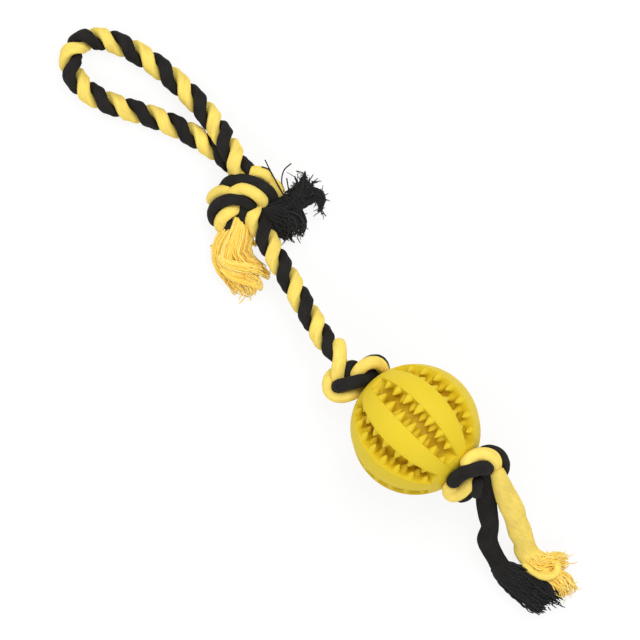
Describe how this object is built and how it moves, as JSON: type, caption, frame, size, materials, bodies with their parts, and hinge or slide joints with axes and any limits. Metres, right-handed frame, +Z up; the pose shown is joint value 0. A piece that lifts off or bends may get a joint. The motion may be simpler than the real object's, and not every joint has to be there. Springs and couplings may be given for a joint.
{
  "type": "dog treat rope toy",
  "caption": "Toothed rubber treat ball threaded on a knotted two-strand cotton rope with a loop handle, frayed tassels and two frayed tails.",
  "frame": {"origin": "on the floor under the middle of the ball", "axes": "+X along the rope from the loop handle towards the tails, +Z up; the ball's bore leans 13 degrees up towards +X"},
  "size_m": [0.4071, 0.091, 0.07],
  "materials": {
    "lemon_rubber": "satin",
    "yellow_cotton": "matte",
    "black_cotton": "matte"
  },
  "bodies": {
    "ball_rope": {"yellow_ball_run": "yellow_cotton", "black_ball_run": "black_cotton", "yellow_upper_knot": "yellow_cotton", "black_upper_knot": "black_cotton", "yellow_lower_knot": "yellow_cotton", "black_lower_knot": "black_cotton"},
    "ball": {"treat_ball": "lemon_rubber"},
    "handle": {"yellow_main_run": "yellow_cotton", "black_main_run": "black_cotton", "yellow_handle_wraps": "yellow_cotton", "black_handle_wraps": "black_cotton", "yellow_handle_core": "yellow_cotton", "black_handle_core": "black_cotton", "yellow_handle_loop": "yellow_cotton", "black_handle_loop": "black_cotton", "yellow_tassel": "yellow_cotton", "black_tassel": "black_cotton"},
    "black_tail_end": {"black_tail": "black_cotton", "black_frayed_tip": "black_cotton"},
    "yellow_tail_end": {"yellow_tail": "yellow_cotton", "yellow_frayed_tip": "yellow_cotton"}
  },
  "joints": [
    {"name": "ball_spin", "type": "hinge", "parent": "ball_rope", "child": "ball", "pos_m": [0, 0, 0.0345], "axis": [0.9744, 0, 0.225], "continuous": true},
    {"name": "handle_swing", "type": "hinge", "parent": "ball_rope", "child": "handle", "pos_m": [-0.0596, -0.0029, 0.0225], "axis": [0, 0, 1], "range_deg": [-35, 35]},
    {"name": "black_tail_swing", "type": "hinge", "parent": "ball_rope", "child": "black_tail_end", "pos_m": [0.0524, -0.002, 0.0439], "axis": [0, 0, 1], "range_deg": [-30, 0]},
    {"name": "yellow_tail_swing", "type": "hinge", "parent": "ball_rope", "child": "yellow_tail_end", "pos_m": [0.0518, 0.0109, 0.045], "axis": [0, 0, 1], "range_deg": [0, 20]}
  ]
}
